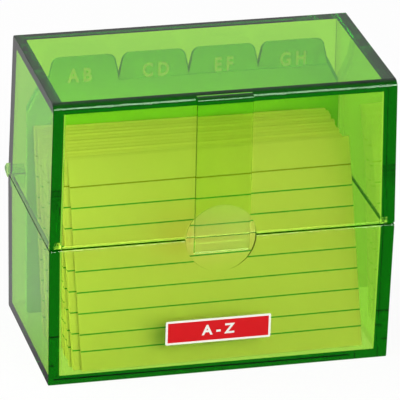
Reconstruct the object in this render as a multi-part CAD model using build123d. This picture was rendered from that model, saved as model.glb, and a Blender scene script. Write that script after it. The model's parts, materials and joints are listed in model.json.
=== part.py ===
from build123d import *
import os
from math import acos, cos, degrees, radians, sin, tan

# A clear plastic index card box: a tray, a hinged lid, a sheaf of cards and A to Z dividers.
# Millimetres. X runs along the front, Y goes back and Z is up.
# The origin is the middle of the tray's underside.

# Cards. The front card leans back the most, and each packet behind it a little less.
card_width = 72.8
card_height = 53.1
card_thickness = 0.17
cards_in_packet = 7
packet_count = 10
sheet_gap = 0.01
packet_gap = 0.29
front_lean = 19.9
rear_lean = 16.5
front_yaw = 1.0
rear_yaw = -0.7
front_card_shift = 1.75
sheaf_shift = -0.3
packet_play = 0.35
card_play = 0.12
scatter_step = 2.4
seat_gap = 0.1

# Dividers. They stand behind the cards and reach further to both sides (divider_side), and below
# the shoulders their flanks slope out to that width (divider_flank).
# Each has one tab in one of the places across its top. Each row of tabs is a little lower and further
# to the right than the row in front of it, and behind the first row the shoulders are higher.
divider_names = ["ab", "cd", "ef", "gh", "ij", "kl", "mn", "op", "qr", "st", "uv", "wz"]
tabs_across = 4
divider_thickness = 0.3
divider_gap = 0.04
divider_lean = 2.4
divider_shift = 0.75
divider_side = 2.8
divider_flank = 5.5
shoulder_rise = 6.35
tab_height = 7.0
row_drop = 0.55
row_shift = 0.3
rear_shoulder_lift = 1.8
tab_side_slope = 1.55
tab_corner = 2.2
divider_corner = 1.0
rest_gap = 0.12

# Room between the contents and the box
side_room = 4.25
front_room = 0.8
back_room = 0.5
head_room = 3.5

# Box. wall is the thickness of the front and back walls. The lid's top edge is well rounded along
# the front (brow) and less so along the back (nape), and the edges of the box's two ends are nearly sharp.
wall = 2.3
side_wall = 3.0
floor_thickness = 2.0
roof_thickness = 3.2
tray_height = 36.9
seam_gap = 0.25
tray_draft = 0.575
lid_draft = 1.12
inner_corner_radius = 0.5
edge_radius = 0.5
end_radius = 0.2
brow_radius = 2.0
nape_radius = 1.0
rebate_depth = 1.5
rebate_height = 1.1

# Tongue on the lid's front, and the round thumb dish behind it, which both shells share.
# front_middle is the X of the tongue, the dish and the label.
tongue_width = 14.0
tongue_proud = 1.0
tongue_lap = 3.3
tongue_top_drop = 0.45
tongue_top_radius = 1.2
front_middle = -0.55
dish_margin = 2.0
dish_skin = 1.0
dish_relief = 0.05

# Hinge: lugs with stub pins and heels on the lid, knuckles on the tray
lid_opening = 110.0
pin_radius = 0.8
pin_clearance = 0.05
barrel_room = 0.3
knuckle_wall = 0.9
knuckle_width = 3.1
knuckle_web = 3.6
knuckle_drop = 0.8
lug_wall = 1.0
lug_width = 3.2
lug_inset = 0.2
lug_rise = 0.4
lug_web = 2.4
hinge_side_gap = 0.3
heel_radius = 0.6
heel_overreach = 0.4
stop_gap = 0.15
web_root = 0.5

# Label on the tray's front
label_width = 27.0
label_height = 6.5
label_thickness = 0.1
label_corner = 0.4
label_rise = 11.8
label_gap = 0.02

# Heights
floor_top = floor_thickness + seat_gap
divider_height = card_height + shoulder_rise + tab_height
divider_top = floor_top + divider_height * cos(radians(divider_lean))
lid_rim = tray_height + seam_gap
lid_top = divider_top + head_room + roof_thickness

# The sheaf, laid out from the inside of the tray's back wall at the floor, which is at 0 here
tray_slope = tan(radians(tray_draft))
lid_slope = tan(radians(lid_draft))
packet_thickness = cards_in_packet * card_thickness + (cards_in_packet - 1) * sheet_gap
divider_pitch = (divider_thickness + divider_gap) / cos(radians(divider_lean))
lid_back_at_tabs = tray_slope * (tray_height - floor_thickness) - lid_slope * (divider_top - tray_height)
last_divider_foot = lid_back_at_tabs - back_room - divider_height * sin(radians(divider_lean))
first_divider_foot = last_divider_foot - divider_pitch * (len(divider_names) - 1)


def between(front, rear, place):
    """The value at a place in the sheaf, from 0 at the front card to packet_count at the rear packet."""
    return front + (rear - front) * place / packet_count


def lean_at(place):
    return radians(between(front_lean, rear_lean, place))


def yaw_at(place):
    return radians(between(front_yaw, rear_yaw, place))


def scatter(number):
    """A value from -1 to 1 that changes unevenly from one number to the next."""
    return sin(scatter_step * number)


def sheaf_feet():
    """How far back each packet's rear card stands, from the front card to the rear packet."""
    rise = card_height * cos(lean_at(packet_count))
    divider_face = first_divider_foot - divider_thickness / cos(radians(divider_lean))
    rear_top = divider_face + rise * tan(radians(divider_lean)) - rest_gap
    rear_top -= card_width / 2 * abs(sin(yaw_at(packet_count)))
    feet = [rear_top - card_height * sin(lean_at(packet_count))]
    for place in reversed(range(packet_count)):
        rise = card_height * cos(lean_at(place))
        foot = feet[0] - packet_thickness / cos(lean_at(place + 1)) - packet_gap
        foot -= rise * (tan(lean_at(place)) - tan(lean_at(place + 1)))
        foot -= card_width / 2 * abs(sin(yaw_at(place) - yaw_at(place + 1)))
        feet.insert(0, foot)
    return feet


# The box, made round its contents
feet_from_back = sheaf_feet()
front_face_from_back = feet_from_back[0] - card_thickness / cos(lean_at(0))
front_corner_from_back = front_face_from_back - card_width / 2 * abs(sin(yaw_at(0)))
floor_depth = front_room - front_corner_from_back
floor_width = card_width + 2 * side_room
depth = floor_depth + 2 * (wall + tray_slope * (tray_height - floor_thickness))
width = floor_width + 2 * (side_wall + tray_slope * (tray_height - floor_thickness))
back_inside = floor_depth / 2
dish_radius = tongue_width / 2 + dish_margin
dish_depth = wall - dish_skin
tongue_root = wall / 2

# The hinge axis runs along X at the height of the seam
knuckle_radius = pin_radius + pin_clearance + knuckle_wall
lug_radius = pin_radius + lug_wall
hinge_offset = max(knuckle_radius, lug_radius) + barrel_room
hinge_y = depth / 2 + hinge_offset
lug_start = width / 2 - lug_inset - lug_width
knuckle_start = lug_start - hinge_side_gap - knuckle_width


def tray_front(z):
    """Y of the tray's front face at a height."""
    return -depth / 2 + tray_slope * (tray_height - z)


def lid_front(z):
    """Y of the lid's front face at a height, or of the same plane below the rim."""
    return -depth / 2 + lid_slope * (z - lid_rim)


def drafted_block(block_width, block_depth, draft, z_wide, z_narrow):
    """A block as wide and deep as given at z_wide, whose sides lean in."""
    height = z_wide - z_narrow
    inset = 2 * tan(radians(draft)) * abs(height)
    narrow_end = Rectangle(block_width - inset, block_depth - inset)
    return extrude(Pos(0, 0, z_narrow) * narrow_end, height, taper=-draft)


def hollow(draft, z_wide, z_narrow):
    """The room inside a shell, which is open at z_wide."""
    room = drafted_block(width - 2 * side_wall, depth - 2 * wall, draft, z_wide, z_narrow)
    upright = [edge for edge in room.edges() if edge.bounding_box().size.Z > wall]
    return fillet(upright, inner_corner_radius)


def round_ridges(block, level, front_radius, back_radius):
    """Round a block's front and back edges at its bottom, for level 0, or its top, for level -1."""
    for side, radius in ((0, front_radius), (-1, back_radius)):
        ridges = block.edges().filter_by(Axis.X).group_by(Axis.Z)[level]
        block = fillet(ridges.sort_by(Axis.Y)[side], radius)
    return block


def round_ends(block):
    """Round all edges of a block's two end faces a little."""
    ends = block.faces().sort_by(Axis.X)
    return fillet(ends[0].edges() + ends[-1].edges(), end_radius)


def bar_along_x(outline, start, length):
    """A bar along X with an outline given in Y and Z."""
    return Pos(start, 0, 0) * extrude(Plane.YZ * outline, length, dir=(1, 0, 0))


def thumb_dish(front, rise):
    """Half of the round thumb dish, above the seam for rise 1 or below it for rise -1.

    Its floor is a ramp, deepest at the seam, and front gives the shell's front face by height.
    """
    end = tray_height + rise * dish_radius
    outline = Polygon(
        (front(tray_height) - dish_relief, tray_height),
        (front(tray_height) + dish_depth, tray_height),
        (front(end), end),
        (front(end) - dish_relief, end),
        align=None,
    )
    ramp = bar_along_x(outline, front_middle - dish_radius, 2 * dish_radius)
    disc = Rot(90, 0, 0) * Cylinder(dish_radius, 4 * wall)
    disc = Pos(front_middle, -depth / 2, tray_height) * disc
    return ramp & disc


def hinge_web(radius, wall_low, wall_high, extra_circles=()):
    """Outline of a hinge barrel and the web that carries it from the back wall."""
    root = depth / 2 - web_root
    edges = [(Pos(hinge_y, tray_height) * Circle(radius)).edges()[0]]
    edges += [circle.edges()[0] for circle in extra_circles]
    edges.append(Line((root, wall_low), (root, wall_high)).edge())
    return make_hull(edges)


def hinge_rod(radius, start, length):
    """A round rod on the hinge axis."""
    along = (Align.CENTER, Align.CENTER, Align.MIN)
    return Pos(start, hinge_y, tray_height) * Rot(0, 90, 0) * Cylinder(radius, length, align=along)


def both_sides(piece):
    return piece + mirror(piece, about=Plane.YZ)


def make_tray():
    shell = drafted_block(width, depth, tray_draft, tray_height, 0)
    shell = round_ridges(shell, 0, edge_radius, edge_radius)
    shell = round_ridges(shell, -1, edge_radius, edge_radius)
    shell = round_ends(shell) - hollow(tray_draft, tray_height, floor_thickness)
    shell -= thumb_dish(tray_front, -1)
    web_top = tray_height - knuckle_drop
    web = hinge_web(knuckle_radius, web_top - knuckle_web, web_top)
    knuckle = bar_along_x(web, knuckle_start, knuckle_width)
    knuckle -= hinge_rod(pin_radius + pin_clearance, knuckle_start, knuckle_width)
    return shell + both_sides(knuckle)


def make_tongue():
    """The strip on the lid's front that laps over the seam."""
    high = lid_top - tongue_top_drop
    low = tray_height - tongue_lap
    outline = Polygon(
        (lid_front(high) + tongue_root, high),
        (lid_front(high) - tongue_proud, high),
        (lid_front(low) - tongue_proud, low),
        (lid_front(low), low),
        (lid_front(lid_rim), lid_rim),
        (lid_front(lid_rim) + tongue_root, lid_rim),
        align=None,
    )
    outline = fillet(outline.vertices().group_by(Axis.Y)[-1].sort_by(Axis.X)[0], tongue_top_radius)
    return bar_along_x(outline, front_middle - tongue_width / 2, tongue_width)


def make_lug():
    """One hinge lug with its stub pin, and the heel that stops the lid on the tray's back wall."""
    reach = hinge_offset + heel_overreach
    turn = degrees(acos((hinge_offset - stop_gap - heel_radius) / reach))
    angle = radians(lid_opening - 180 + turn)
    heel = Pos(hinge_y + reach * cos(angle), tray_height + reach * sin(angle)) * Circle(heel_radius)
    web_low = lid_rim + lug_rise
    web = hinge_web(lug_radius, web_low, web_low + lug_web, [heel])
    lug = bar_along_x(web, lug_start, lug_width)
    return lug + hinge_rod(pin_radius, knuckle_start, lug_start + lug_width / 2 - knuckle_start)


def make_rebate():
    """The steps cut into the insides of the lid's two side walls along its rim."""
    step_width = width - 2 * (side_wall - rebate_depth)
    step_length = depth - 2 * wall - 2 * inner_corner_radius
    upwards = (Align.CENTER, Align.CENTER, Align.MIN)
    return Pos(0, 0, lid_rim) * Box(step_width, step_length, rebate_height, align=upwards)


def make_lid():
    shell = drafted_block(width, depth, lid_draft, lid_rim, lid_top)
    shell = round_ridges(shell, 0, edge_radius, edge_radius)
    shell = round_ridges(shell, -1, brow_radius, nape_radius)
    shell = round_ends(shell) - hollow(lid_draft, lid_rim, lid_top - roof_thickness)
    shell -= make_rebate()
    shell += make_tongue()
    shell -= thumb_dish(lid_front, 1)
    return shell + both_sides(make_lug())


def make_label():
    lean = radians(tray_draft)
    face = Plane(
        origin=(front_middle, tray_front(label_rise) - label_gap, label_rise),
        x_dir=(1, 0, 0),
        z_dir=(0, -cos(lean), -sin(lean)),
    )
    return extrude(face * RectangleRounded(label_width, label_height, label_corner), label_thickness)


def make_card():
    """An upright card with its lower rear edge on the X axis."""
    return Box(card_width, card_thickness, card_height, align=(Align.CENTER, Align.MAX, Align.MIN))


def make_packet(place, count, shift):
    """Cards that lean and turn alike, with the rear one's foot where the sheaf puts it."""
    lean = between(front_lean, rear_lean, place)
    yaw = between(front_yaw, rear_yaw, place)
    pitch = (card_thickness + sheet_gap) / cos(radians(lean))
    stand = Pos(shift, back_inside + feet_from_back[place], floor_top) * Rot(0, 0, yaw)
    cards = []
    for number in range(count):
        aside = card_play * scatter(place * cards_in_packet + number)
        cards.append(stand * Pos(aside, -pitch * number, 0) * Rot(-lean, 0, 0) * make_card())
    return cards


def make_divider(row):
    """A divider sheet with its own tab, standing at its place from the front of the dividers."""
    tab_pitch = card_width / tabs_across
    tab_middle = (row % tabs_across + 0.5) * tab_pitch - card_width / 2
    level = row // tabs_across
    shoulder = card_height + shoulder_rise - row_drop * level
    tab_top = shoulder + tab_height
    if level > 0:
        shoulder += rear_shoulder_lift
    slope = tab_side_slope / tab_height
    narrow = card_width / 2
    broad = narrow + divider_side
    flank_foot = shoulder - divider_flank
    sheet = Polygon(
        (-broad, 0),
        (broad, 0),
        (broad, flank_foot),
        (narrow, shoulder),
        (-narrow, shoulder),
        (-broad, flank_foot),
        align=None,
    )
    sheet = fillet(sheet.vertices().group_by(Axis.Y)[0], divider_corner)
    half = tab_pitch / 2
    half_top = half - slope * (tab_top - shoulder)
    tab = Polygon(
        (tab_middle - half, shoulder - tab_corner),
        (tab_middle + half, shoulder - tab_corner),
        (tab_middle + half, shoulder),
        (tab_middle + half_top, tab_top),
        (tab_middle - half_top, tab_top),
        (tab_middle - half, shoulder),
        align=None,
    )
    tab = fillet(tab.vertices().group_by(Axis.Y)[-1], tab_corner)
    upright = extrude(Plane.XZ * (sheet + tab), divider_thickness)
    across = divider_shift + row_shift * level
    stand = Pos(across, back_inside + first_divider_foot + row * divider_pitch, floor_top)
    return stand * Rot(-divider_lean, 0, 0) * upright


nodes = {"tray": make_tray(), "lid": make_lid(), "front_label": make_label()}
nodes["front_card"] = make_packet(0, 1, front_card_shift)[0]
for place in range(1, packet_count + 1):
    shift = sheaf_shift + packet_play * scatter(place)
    nodes[f"card_packet_{place:02d}"] = Compound(make_packet(place, cards_in_packet, shift))
for row, letters in enumerate(divider_names):
    nodes[f"divider_{letters}"] = make_divider(row)

os.makedirs("parts", exist_ok=True)
for name, shape in nodes.items():
    export_step(shape, f"parts/{name}.step")
print(f"box {width:.2f} wide, {depth:.2f} deep, {lid_top:.2f} high, hinge axis y {hinge_y:.2f}")
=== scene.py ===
import json
from math import cos, pi, radians, sin

import bpy
from mathutils import Euler, Matrix, Vector


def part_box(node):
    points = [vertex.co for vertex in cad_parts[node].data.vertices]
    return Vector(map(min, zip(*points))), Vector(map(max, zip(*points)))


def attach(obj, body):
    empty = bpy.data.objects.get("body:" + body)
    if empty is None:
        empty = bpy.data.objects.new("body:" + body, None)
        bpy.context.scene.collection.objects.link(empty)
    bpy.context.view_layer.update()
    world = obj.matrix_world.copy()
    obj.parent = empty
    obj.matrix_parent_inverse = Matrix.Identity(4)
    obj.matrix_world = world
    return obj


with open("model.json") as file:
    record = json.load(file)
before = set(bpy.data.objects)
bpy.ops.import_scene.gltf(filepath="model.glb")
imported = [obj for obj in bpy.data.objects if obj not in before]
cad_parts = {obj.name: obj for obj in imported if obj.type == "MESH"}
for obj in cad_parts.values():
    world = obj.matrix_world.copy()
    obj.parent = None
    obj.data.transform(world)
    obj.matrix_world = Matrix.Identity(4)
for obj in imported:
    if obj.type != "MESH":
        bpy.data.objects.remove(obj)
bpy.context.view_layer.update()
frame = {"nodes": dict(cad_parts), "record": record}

bl_info = {
    "name": "Index Card Box",
    "version": (1, 0, 0),
    "blender": (4, 5, 0),
    "location": "3D View > Sidebar > Card Box",
    "description": "Finishes a clear index card box, its ruled cards and its lettered dividers",
    "category": "Object",
}

MM = 0.001
PACKETS = sorted(name for name in frame["nodes"] if name.startswith("card_packet_"))
DIVIDERS = sorted(name for name in frame["nodes"] if name.startswith("divider_"))
SHELLS = ("tray", "lid")

# Print: a capital's share of the font's size, how far the strokes are spread as a share of the letter's
# height, half the thickness of the ink, and how far it stands off the card
CAPITAL_SHARE = 0.7
STROKE_SPREAD = 0.043
INK_DEPTH = 0.006 * MM
INK_LIFT = 0.015 * MM


class CardBoxShells(bpy.types.PropertyGroup):
    """The clear plastic of the tray and the lid"""

    tint: bpy.props.FloatVectorProperty(
        name="Tint", description="Colour that the plastic lets through", subtype="COLOR",
        size=3, min=0, max=1, default=(0.826, 0.963, 0.505),
    )
    density: bpy.props.FloatProperty(
        name="Density", description="How strongly the plastic absorbs, per metre", min=0, default=1000.0,
    )
    skin: bpy.props.FloatVectorProperty(
        name="Skin", description="Colour of the polished surface where it is clean", subtype="COLOR",
        size=3, min=0, max=1, default=(0.98, 0.96, 0.98),
    )
    hazy_skin: bpy.props.FloatVectorProperty(
        name="Hazy skin", description="Colour of the surface where handling has dulled it", subtype="COLOR",
        size=3, min=0, max=1, default=(0.96, 0.945, 0.96),
    )
    lamp_tint: bpy.props.FloatVectorProperty(
        name="Lamp tint", description="What each surface lets through of the lamps' light", subtype="COLOR",
        size=3, min=0, max=1, default=(1.0, 0.705, 0.665),
    )
    refraction: bpy.props.FloatProperty(
        name="Refraction", description="Index of refraction of clear polystyrene", min=1, default=1.59,
    )
    wave: bpy.props.FloatProperty(
        name="Wave", description="Height of the moulding's slow waves", subtype="DISTANCE", unit="LENGTH",
        min=0, default=0.0015 * MM,
    )


class CardBoxPaper(bpy.types.PropertyGroup):
    """The ruled cards"""

    stock: bpy.props.FloatVectorProperty(
        name="Stock", description="Colour of the card", subtype="COLOR",
        size=3, min=0, max=1, default=(0.96, 0.9, 0.78),
    )
    rule_ink: bpy.props.FloatVectorProperty(
        name="Rule ink", description="Colour of the writing lines", subtype="COLOR",
        size=3, min=0, max=1, default=(0.02, 0.4, 0.16),
    )
    header_ink: bpy.props.FloatVectorProperty(
        name="Header ink", description="Colour of the line under the heading", subtype="COLOR",
        size=3, min=0, max=1, default=(0.36, 0.34, 0.08),
    )
    header_drop: bpy.props.FloatProperty(
        name="Header drop", description="From the card's top to the header line", subtype="DISTANCE",
        unit="LENGTH", default=7.2 * MM,
    )
    rule_pitch: bpy.props.FloatProperty(
        name="Rule pitch", description="From one writing line to the next", subtype="DISTANCE",
        unit="LENGTH", default=5.25 * MM,
    )
    last_pitch: bpy.props.FloatProperty(
        name="Last pitch", description="From the last writing line but one to the last", subtype="DISTANCE",
        unit="LENGTH", default=4.2 * MM,
    )
    rule_count: bpy.props.IntProperty(
        name="Rules", description="Writing lines at the full pitch", min=0, default=7,
    )
    line_width: bpy.props.FloatProperty(
        name="Line width", description="Width of a printed line", subtype="DISTANCE",
        unit="LENGTH", default=0.34 * MM,
    )
    # Painted shade: how dark the strip painted along each card front's top edge is, standing in for the
    # shade at each step of the sheaf's top
    painted_edge_shade: bpy.props.FloatProperty(
        name="Edge shade", description="How much darker the cards are along their top edges",
        subtype="FACTOR", min=0, max=1, default=0.15,
    )
    front_lean: bpy.props.FloatProperty(
        name="Front lean", description="How far the front card leans back", subtype="ANGLE",
        unit="ROTATION", default=radians(19.9),
    )
    rear_lean: bpy.props.FloatProperty(
        name="Rear lean", description="How far the rear packet leans back", subtype="ANGLE",
        unit="ROTATION", default=radians(16.5),
    )


class CardBoxDividers(bpy.types.PropertyGroup):
    """The lettered dividers"""

    first_row: bpy.props.FloatVectorProperty(
        name="First row", description="Colour of the dividers up to H", subtype="COLOR",
        size=3, min=0, max=1, default=(0.38, 0.85, 0.1),
    )
    # The dividers behind the first row are given a darker green than the first row's
    rear_rows: bpy.props.FloatVectorProperty(
        name="Rear rows", description="Colour of the dividers from I to Z", subtype="COLOR",
        size=3, min=0, max=1, default=(0.14, 0.58, 0.14),
    )
    tabs_across: bpy.props.IntProperty(
        name="Tabs across", description="Tabs in one row of dividers", min=1, default=4,
    )
    letter_ink: bpy.props.FloatVectorProperty(
        name="Letter ink", description="Colour of the letters on the tabs", subtype="COLOR",
        size=3, min=0, max=1, default=(1.0, 1.0, 0.9),
    )
    letter_height: bpy.props.FloatProperty(
        name="Letter height", description="Height of a capital letter", subtype="DISTANCE",
        unit="LENGTH", default=3.5 * MM,
    )
    letter_drop: bpy.props.FloatProperty(
        name="Letter drop", description="From a first tab's top to the middle of its letters",
        subtype="DISTANCE", unit="LENGTH", default=5.25 * MM,
    )
    rear_drop: bpy.props.FloatProperty(
        name="Rear drop", description="The same for the shorter tabs behind the first row",
        subtype="DISTANCE", unit="LENGTH", default=3.1 * MM,
    )
    letter_width: bpy.props.FloatProperty(
        name="Letter width", description="Width of the letters as a share of the plain font's",
        min=0.1, default=0.8,
    )
    letter_nudge: bpy.props.FloatVectorProperty(
        name="Letter nudge", description="From a tab's middle to its letters' middle, by place in the row",
        subtype="NONE", unit="LENGTH", size=4, default=(-0.8 * MM, 0.55 * MM, 0.0, 0.0),
    )
    sheet: bpy.props.FloatProperty(
        name="Sheet", description="Thickness of a divider", subtype="DISTANCE",
        unit="LENGTH", default=0.3 * MM,
    )
    lean: bpy.props.FloatProperty(
        name="Lean", description="How far the dividers lean back", subtype="ANGLE",
        unit="ROTATION", default=radians(2.4),
    )


class CardBoxLabel(bpy.types.PropertyGroup):
    """The sticker on the tray's front"""

    field: bpy.props.FloatVectorProperty(
        name="Field", description="Colour of the sticker", subtype="COLOR",
        size=3, min=0, max=1, default=(0.62, 0.004, 0.008),
    )
    border: bpy.props.FloatProperty(
        name="Border", description="Width of the white border", subtype="DISTANCE",
        unit="LENGTH", default=0.55 * MM,
    )
    border_colour: bpy.props.FloatVectorProperty(
        name="Border colour", description="Colour of the bare paper round the field", subtype="COLOR",
        size=3, min=0, max=1, default=(0.8, 0.79, 0.74),
    )
    letter_ink: bpy.props.FloatVectorProperty(
        name="Letter ink", description="Colour of the words", subtype="COLOR",
        size=3, min=0, max=1, default=(0.82, 0.81, 0.76),
    )
    lettering: bpy.props.StringProperty(
        name="Lettering", description="Plain words on the sticker", default="A - Z",
    )
    letter_height: bpy.props.FloatProperty(
        name="Letter height", description="Height of a capital letter", subtype="DISTANCE",
        unit="LENGTH", default=2.6 * MM,
    )


class CardBoxStage(bpy.types.PropertyGroup):
    """The floor, the light and the camera"""

    azimuth: bpy.props.FloatProperty(
        name="Azimuth", description="Turn of the view to the left of the front", subtype="ANGLE",
        unit="ROTATION", default=radians(14.91),
    )
    elevation: bpy.props.FloatProperty(
        name="Elevation", description="Height of the view above level", subtype="ANGLE",
        unit="ROTATION", default=radians(24.0),
    )
    roll: bpy.props.FloatProperty(
        name="Roll", description="Lean of the camera", subtype="ANGLE",
        unit="ROTATION", default=radians(1.7),
    )
    distance: bpy.props.FloatProperty(
        name="Distance", description="From the camera to what it aims at", subtype="DISTANCE",
        unit="LENGTH", default=1096.3 * MM,
    )
    aim: bpy.props.FloatVectorProperty(
        name="Aim", description="The point that the camera aims at", subtype="TRANSLATION",
        unit="LENGTH", size=3, default=(0.16 * MM, 0.0, 36.44 * MM),
    )
    lens: bpy.props.FloatProperty(
        name="Lens", description="Focal length for a 36 mm sensor, in millimetres", default=392.45,
    )
    floor_size: bpy.props.FloatProperty(
        name="Floor size", description="Side of the floor", subtype="DISTANCE", unit="LENGTH", default=6.0,
    )
    floor_gap: bpy.props.FloatProperty(
        name="Floor gap", description="Air between the floor and the tray's underside", subtype="DISTANCE",
        unit="LENGTH", default=0.3 * MM,
    )
    floor_white: bpy.props.FloatProperty(
        name="Floor white", description="How much of the floor's shadow its own white covers",
        subtype="FACTOR", min=0, max=1, default=0.93,
    )
    dome: bpy.props.FloatProperty(
        name="Dome", description="Strength of the even light from all round", min=0, default=0.36,
    )
    dark_side: bpy.props.FloatProperty(
        name="Dark side", description="Strength of the studio's front, seen mirrored", min=0, default=0.08,
    )
    sky_behind: bpy.props.FloatProperty(
        name="Sky behind", description="Strength of the backdrop, seen mirrored", min=0, default=0.52,
    )
    sky_blend: bpy.props.FloatProperty(
        name="Sky blend", description="Share of the sky in which dark turns to bright",
        min=0.01, default=0.8,
    )
    floor_behind: bpy.props.FloatProperty(
        name="Floor behind", description="Strength of the floor at the back, seen mirrored", min=0,
        default=0.45,
    )
    floor_blend: bpy.props.FloatProperty(
        name="Floor blend", description="Length of floor in which dark turns to bright", subtype="DISTANCE",
        unit="LENGTH", min=0.001, default=60 * MM,
    )


class CardBoxSettings(bpy.types.PropertyGroup):
    """All settings of the card box"""

    shells: bpy.props.PointerProperty(type=CardBoxShells)
    paper: bpy.props.PointerProperty(type=CardBoxPaper)
    dividers: bpy.props.PointerProperty(type=CardBoxDividers)
    label: bpy.props.PointerProperty(type=CardBoxLabel)
    stage: bpy.props.PointerProperty(type=CardBoxStage)


class Wire:
    """A node's output that takes part in Python arithmetic by adding Math nodes."""

    def __init__(self, finish, socket):
        self.finish = finish
        self.socket = socket

    def math(self, operation, *others):
        inputs = dict(enumerate((self,) + others))
        return self.finish.add("ShaderNodeMath", {"operation": operation}, inputs)

    def reflected(self, operation, other):
        return self.finish.add("ShaderNodeMath", {"operation": operation}, {0: other, 1: self})

    def __add__(self, other):
        return self.math("ADD", other)

    def __radd__(self, other):
        return self.reflected("ADD", other)

    def __sub__(self, other):
        return self.math("SUBTRACT", other)

    def __rsub__(self, other):
        return self.reflected("SUBTRACT", other)

    def __mul__(self, other):
        return self.math("MULTIPLY", other)

    def __rmul__(self, other):
        return self.reflected("MULTIPLY", other)

    def __truediv__(self, other):
        return self.math("DIVIDE", other)

    def size(self):
        return self.math("ABSOLUTE")

    def below(self, limit):
        return self.math("LESS_THAN", limit)

    def above(self, limit):
        return self.math("GREATER_THAN", limit)

    def most(self, other):
        return self.math("MAXIMUM", other)

    def least(self, other):
        return self.math("MINIMUM", other)


class Finish:
    """A node tree under construction: a material's, or the world's."""

    def __init__(self, owner):
        self.owner = owner
        owner.use_nodes = True
        self.tree = owner.node_tree
        self.tree.nodes.clear()

    def feed(self, socket, value):
        if isinstance(value, Wire):
            self.tree.links.new(value.socket, socket)
        else:
            socket.default_value = value

    def add(self, kind, settings=None, inputs=None, output=0):
        """Add a node, set it up, feed its sockets, and give back one of its outputs."""
        node = self.tree.nodes.new(kind)
        for key, value in (settings or {}).items():
            setattr(node, key, value)
        for key, value in (inputs or {}).items():
            self.feed(node.inputs[key], value)
        return Wire(self, node.outputs[output]) if node.outputs else node

    def place(self, output="Object"):
        return self.add("ShaderNodeTexCoord", output=output)

    def axes(self, vector):
        """The X, Y and Z of a vector as three wires."""
        first = self.add("ShaderNodeSeparateXYZ", inputs={0: vector})
        return [Wire(self, socket) for socket in first.socket.node.outputs]

    def noise(self, scale, detail=2.0):
        """Noise from 0 to 1 with so many lumps per metre."""
        inputs = {"Vector": self.place(), "Scale": scale, "Detail": detail}
        return self.add("ShaderNodeTexNoise", inputs=inputs)

    def mix(self, factor, first, second):
        """A colour between two colours."""
        settings = {"data_type": "RGBA"}
        return self.add("ShaderNodeMix", settings, {0: factor, 6: first, 7: second}, output=2)

    def bump(self, height, distance, strength=1.0):
        inputs = {"Strength": strength, "Distance": distance, "Height": height}
        return self.add("ShaderNodeBump", inputs=inputs)

    def principled(self, **sockets):
        inputs = {name.replace("_", " ").title(): value for name, value in sockets.items()}
        inputs = {name.replace("Ior", "IOR"): value for name, value in inputs.items()}
        return self.add("ShaderNodeBsdfPrincipled", inputs=inputs)

    def output(self, surface, volume=None):
        target = "World" if isinstance(self.owner, bpy.types.World) else "Material"
        inputs = {"Surface": surface}
        if volume:
            inputs["Volume"] = volume
        self.add(f"ShaderNodeOutput{target}", inputs=inputs)
        return self.owner


def new_finish(name):
    return Finish(bpy.data.materials.new(name))


def opaque(colour):
    return tuple(colour) + (1.0,)


def darker(colour, share):
    return tuple(value * (1 - share) for value in colour)


def paint(node, material):
    """Give a CAD node one material."""
    piece = frame["nodes"][node]
    piece.data.materials.clear()
    piece.data.materials.append(material)


def clear_plastic(settings):
    """Polished clear plastic: tinted through its depth, with slow moulding waves and faint handling haze."""
    finish = new_finish("clear_green_plastic")
    waves = finish.noise(120.0)
    haze = finish.noise(40.0, detail=6.0)
    surface = finish.principled(
        base_color=finish.mix(haze, opaque(settings.hazy_skin), opaque(settings.skin)),
        roughness=0.004 + haze * 0.012,
        ior=settings.refraction,
        transmission_weight=1.0,
        normal=finish.bump(waves, settings.wave),
    )
    lamp_light = finish.add("ShaderNodeLightPath", output="Is Shadow Ray")
    let_through = finish.add("ShaderNodeBsdfTransparent", inputs={"Color": opaque(settings.lamp_tint)})
    shader = finish.add("ShaderNodeMixShader", inputs={0: lamp_light, 1: surface, 2: let_through})
    inside = {"Color": opaque(settings.tint), "Density": settings.density}
    return finish.output(shader, finish.add("ShaderNodeVolumeAbsorption", inputs=inside))


def ruled_card(name, settings, lean, top, painted_edge_shade):
    """Pale card with a header line and writing lines on its front, measured down from its top edge.

    Its front is darker by the share given as its last argument in a hair's breadth along the top edge: a
    painted shade standing in for the shade at each step of the sheaf's top.
    """
    finish = new_finish(name)
    height = finish.axes(finish.place())[2]
    facing = finish.axes(finish.place("Normal"))[1]
    front = facing.below(-0.5)
    drop = (top - height) / cos(lean)
    half = settings.line_width / 2
    header = (drop - settings.header_drop).size().below(half)
    first_rule = settings.header_drop + settings.rule_pitch
    steps = ((drop - first_rule) / settings.rule_pitch).math("ROUND").most(0.0)
    nearest = steps.least(settings.rule_count - 1.0) * settings.rule_pitch + first_rule
    rules = (drop - nearest).size().below(half)
    last = settings.header_drop + settings.rule_count * settings.rule_pitch + settings.last_pitch
    rules = rules.most((drop - last).size().below(half))
    fibres = finish.noise(900.0, detail=8.0)
    stock = finish.mix(fibres, opaque(darker(settings.stock, 0.05)), opaque(settings.stock))
    inked = finish.mix(rules * front, stock, opaque(settings.rule_ink))
    inked = finish.mix(header * front, inked, opaque(settings.header_ink))
    # Painted shade: a line-wide strip along the top of the front, darkened to stand in for the shade at each
    # step of the sheaf's top
    painted_step_shade = drop.below(settings.line_width) * front
    surface = finish.principled(
        base_color=finish.mix(painted_step_shade, inked, opaque(darker(settings.stock, painted_edge_shade))),
        roughness=0.75 + fibres * 0.15,
        normal=finish.bump(fibres, 0.01 * MM, 0.3),
    )
    return finish.output(surface)


def dyed_card(name, colour):
    """Smooth card dyed through, a little uneven."""
    finish = new_finish(name)
    fibres = finish.noise(700.0, detail=6.0)
    clouds = finish.noise(60.0)
    surface = finish.principled(
        base_color=finish.mix(fibres * 0.5 + clouds * 0.5, opaque(darker(colour, 0.1)), opaque(colour)),
        roughness=0.5 + fibres * 0.2,
        normal=finish.bump(fibres, 0.008 * MM, 0.3),
    )
    return finish.output(surface)


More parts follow.
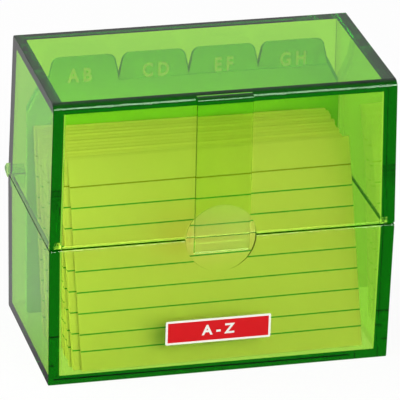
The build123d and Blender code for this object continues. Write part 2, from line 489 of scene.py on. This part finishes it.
def printed_ink(name, colour):
    """Ink that lies on card, with the card's grain in it."""
    finish = new_finish(name)
    grain = finish.noise(1500.0, detail=4.0)
    surface = finish.principled(
        base_color=finish.mix(grain, opaque(darker(colour, 0.08)), opaque(colour)),
        roughness=0.45 + grain * 0.2,
    )
    return finish.output(surface)


def sticker(settings):
    """A coated sticker: a coloured field inside a white border."""
    low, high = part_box("front_label")
    finish = new_finish("label_sticker")
    across, _, up = finish.axes(finish.place())
    middle = (low + high) / 2
    half = (high - low) / 2
    outside = (across - middle.x).size().above(half.x - settings.border)
    outside = outside.most((up - middle.z).size().above(half.z - settings.border))
    grain = finish.noise(500.0, detail=4.0)
    field = finish.mix(grain, opaque(darker(settings.field, 0.07)), opaque(settings.field))
    surface = finish.principled(
        base_color=finish.mix(outside, field, opaque(settings.border_colour)),
        roughness=0.32 + grain * 0.1,
        specular_ior_level=0.2,
        normal=finish.bump(grain, 0.004 * MM, 0.2),
    )
    return finish.output(surface)


def lettering(name, words, size, place, turn, material, body, slot):
    """Raised print: words as a thin mesh, centred on a place and turned to face out of their surface.

    The size is a letter's breadth, for a letter as broad as high in the plain font, and its height.
    """
    breadth, height = size
    bpy.ops.object.select_all(action="DESELECT")
    bpy.ops.object.text_add()
    text = bpy.context.object
    text.name = name
    text.data.body = words
    text.data.align_x = "CENTER"
    text.data.align_y = "CENTER"
    text.data.size = height / CAPITAL_SHARE
    text.data.extrude = INK_DEPTH
    text.data.offset = STROKE_SPREAD * height
    bpy.ops.object.convert(target="MESH")
    piece = bpy.context.object
    narrow = Matrix.Diagonal((breadth / height, 1.0, 1.0, 1.0))
    piece.matrix_world = Matrix.Translation(place) @ turn.to_matrix().to_4x4() @ narrow
    bpy.ops.object.transform_apply(location=True, rotation=True, scale=True)
    piece.data.materials.clear()
    piece.data.materials.append(material)
    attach(piece, body)


class CARDBOX_OT_finish_shells(bpy.types.Operator):
    """Give the tray and the lid their clear plastic"""

    bl_idname = "cardbox.finish_shells"
    bl_label = "Finish Shells"

    def execute(self, context):
        plastic = clear_plastic(context.scene.card_box.shells)
        for node in SHELLS:
            paint(node, plastic)
        return {"FINISHED"}


class CARDBOX_OT_finish_cards(bpy.types.Operator):
    """Rule the front card and the packets behind it"""

    bl_idname = "cardbox.finish_cards"
    bl_label = "Finish Cards"

    def execute(self, context):
        settings = context.scene.card_box.paper
        nodes = ["front_card"] + PACKETS
        for place, node in enumerate(nodes):
            share = place / (len(nodes) - 1)
            lean = settings.front_lean + (settings.rear_lean - settings.front_lean) * share
            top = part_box(node)[1].z
            # Painted shade along each packet's top edge, stronger on some packets than others
            shade_share = 0.6 + 0.4 * sin(2.4 * place)
            paint(node, ruled_card(f"ruled_{node}", settings, lean, top, settings.painted_edge_shade * shade_share))
        return {"FINISHED"}


class CARDBOX_OT_finish_dividers(bpy.types.Operator):
    """Colour the dividers row by row and letter their tabs"""

    bl_idname = "cardbox.finish_dividers"
    bl_label = "Finish Dividers"

    def execute(self, context):
        settings = context.scene.card_box.dividers
        front_card = dyed_card("divider_front_card", settings.first_row)
        rear_card = dyed_card("divider_rear_card", settings.rear_rows)
        ink = printed_ink("tab_letter_ink", settings.letter_ink)
        row_length = settings.tabs_across
        card_low, card_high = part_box(PACKETS[-1])
        tab_pitch = (card_high.x - card_low.x) / row_length
        slots = {part["node"]: part["material_slot"] for part in frame["record"]["subparts"]}
        down = Vector((0, -sin(settings.lean), -cos(settings.lean)))
        outward = Vector((0, -cos(settings.lean), sin(settings.lean)))
        turn = Euler((pi / 2 - settings.lean, 0, 0))
        for number, node in enumerate(DIVIDERS):
            in_front = number < row_length
            paint(node, front_card if in_front else rear_card)
            low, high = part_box(node)
            letters = node.split("_")[1].upper()
            middle = (low.x + high.x) / 2
            column = number % row_length
            tab_middle = middle + (column + 0.5 - row_length / 2) * tab_pitch
            across = tab_middle + settings.letter_nudge[column]
            top_edge = Vector((across, high.y - settings.sheet * cos(settings.lean), high.z))
            drop = settings.letter_drop if in_front else settings.rear_drop
            place = top_edge + down * drop + outward * INK_LIFT
            words = "W-Z" if letters == "WZ" else " ".join(letters)
            size = (settings.letter_width * settings.letter_height, settings.letter_height)
            lettering(f"letters_{letters.lower()}", words, size, place, turn, ink, node, slots[node])
        return {"FINISHED"}


class CARDBOX_OT_finish_label(bpy.types.Operator):
    """Print the sticker on the tray's front"""

    bl_idname = "cardbox.finish_label"
    bl_label = "Finish Label"

    def execute(self, context):
        settings = context.scene.card_box.label
        paint("front_label", sticker(settings))
        low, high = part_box("front_label")
        middle = (low + high) / 2
        place = Vector((middle.x, low.y, middle.z))
        ink = printed_ink("label_letter_ink", settings.letter_ink)
        size = (settings.letter_height, settings.letter_height)
        turn = Euler((pi / 2, 0, 0))
        lettering("label_words", settings.lettering, size, place, turn, ink, "tray", "label_paper")
        return {"FINISHED"}


class CARDBOX_OT_build_stage(bpy.types.Operator):
    """Set up the pale floor, the soft light and the camera"""

    bl_idname = "cardbox.build_stage"
    bl_label = "Build Stage"

    def execute(self, context):
        settings = context.scene.card_box.stage
        self.make_floor(context, settings)
        self.make_light(context, settings)
        self.make_camera(context, settings)
        context.scene.view_settings.view_transform = "Standard"
        context.scene.cycles.max_bounces = 24
        context.scene.cycles.glossy_bounces = 16
        context.scene.cycles.transmission_bounces = 24
        return {"FINISHED"}

    def background(self, finish, toward_back, blend, dark_side, behind):
        """Three wires for the floor and the world.

        The first is 1 for a ray that sees the white background, straight or through plastic, the second is
        1 for a mirrored ray, and the third is the strength that a mirrored ray sees, from the studio's dark
        side at the front to the brighter back.
        """
        path = finish.add("ShaderNodeLightPath", output="Is Camera Ray").socket.node
        outputs = ("Is Camera Ray", "Is Transmission Ray", "Is Glossy Ray", "Diffuse Depth")
        camera, through, mirrored, scattered = [Wire(finish, path.outputs[name]) for name in outputs]
        seen = camera.most(through) * scattered.below(0.5)
        rear = (toward_back / blend + 0.5).most(0.0).least(1.0)
        return seen, mirrored, mirrored * (rear * (behind - dark_side) + dark_side)

    def make_floor(self, context, settings):
        bpy.ops.object.select_all(action="DESELECT")
        bpy.ops.mesh.primitive_plane_add(size=settings.floor_size, location=(0, 0, -settings.floor_gap))
        floor = context.object
        floor.name = "studio_floor"
        bpy.ops.object.transform_apply(location=True, rotation=True, scale=True)
        finish = new_finish("studio_floor_paper")
        grain = finish.noise(30.0)
        pale = finish.mix(grain, opaque((0.93, 0.93, 0.93)), opaque((0.95, 0.95, 0.95)))
        diffuse = finish.add("ShaderNodeBsdfDiffuse", inputs={"Color": pale})
        seen, mirrored, dim = self.background(
            finish, finish.axes(finish.place())[1], settings.floor_blend, settings.dark_side,
            settings.floor_behind,
        )
        glow = {"Color": opaque((1, 1, 1)), "Strength": seen.most(dim)}
        white = finish.add("ShaderNodeEmission", inputs=glow)
        share = (seen * settings.floor_white).most(mirrored)
        lit = finish.add("ShaderNodeMixShader", inputs={0: share, 1: diffuse, 2: white})
        floor.data.materials.append(finish.output(lit))

    def make_light(self, context, settings):
        world = bpy.data.worlds.new("studio_world")
        context.scene.world = world
        finish = Finish(world)
        seen, mirrored, dim = self.background(
            finish, finish.axes(finish.place("Generated"))[1], settings.sky_blend, settings.dark_side,
            settings.sky_behind,
        )
        strength = seen.most(dim).most((1.0 - seen - mirrored) * settings.dome)
        glow = {"Color": opaque((1, 1, 1)), "Strength": strength}
        finish.output(finish.add("ShaderNodeBackground", inputs=glow))
        self.make_lamp(context, "softbox", place=(0.3, -1.02, 0.55), size=0.47, watts=4.3)
        right = self.make_lamp(context, "right_fill", place=(0.65, -0.85, 0.3), size=0.6, watts=3.6)
        left = self.make_lamp(context, "left_fill", place=(-1.05, 0.0, 0.45), size=0.8, watts=15.0)
        # Only the softbox is mirrored in the plastic.
        for lamp in (right, left):
            lamp.visible_glossy = False

    def make_lamp(self, context, name, place, size, watts):
        """A square lamp that faces the box."""
        bpy.ops.object.light_add(type="AREA", location=place)
        lamp = context.object
        lamp.name = name
        lamp.data.size = size
        lamp.data.energy = watts
        lamp.rotation_euler = lamp.location.to_track_quat("Z", "Y").to_euler()
        return lamp

    def make_camera(self, context, settings):
        bpy.ops.object.camera_add()
        camera = context.object
        camera.name = "photo_camera"
        camera.data.lens = settings.lens
        camera.data.sensor_width = 36.0
        camera.data.clip_end = 10.0
        look = Euler((pi / 2 - settings.elevation, 0, -settings.azimuth)).to_matrix().to_4x4()
        back = Matrix.Translation((0, 0, settings.distance))
        roll = Matrix.Rotation(settings.roll, 4, "Z")
        camera.matrix_world = Matrix.Translation(settings.aim) @ look @ back @ roll
        context.scene.camera = camera


class CARDBOX_PT_panel(bpy.types.Panel):
    """Lists the steps that finish the card box"""

    bl_label = "Card Box"
    bl_idname = "CARDBOX_PT_panel"
    bl_space_type = "VIEW_3D"
    bl_region_type = "UI"
    bl_category = "Card Box"

    def draw(self, context):
        for operator in OPERATORS:
            self.layout.operator(operator.bl_idname)


OPERATORS = (
    CARDBOX_OT_finish_shells,
    CARDBOX_OT_finish_cards,
    CARDBOX_OT_finish_dividers,
    CARDBOX_OT_finish_label,
    CARDBOX_OT_build_stage,
)
CLASSES = (
    CardBoxShells,
    CardBoxPaper,
    CardBoxDividers,
    CardBoxLabel,
    CardBoxStage,
    CardBoxSettings,
    *OPERATORS,
    CARDBOX_PT_panel,
)


def register():
    for item in CLASSES:
        bpy.utils.register_class(item)
    bpy.types.Scene.card_box = bpy.props.PointerProperty(type=CardBoxSettings)


def unregister():
    del bpy.types.Scene.card_box
    for item in reversed(CLASSES):
        bpy.utils.unregister_class(item)


def main():
    register()
    bpy.ops.cardbox.finish_shells()
    bpy.ops.cardbox.finish_cards()
    bpy.ops.cardbox.finish_dividers()
    bpy.ops.cardbox.finish_label()
    bpy.ops.cardbox.build_stage()


if __name__ == "__main__":
    main()
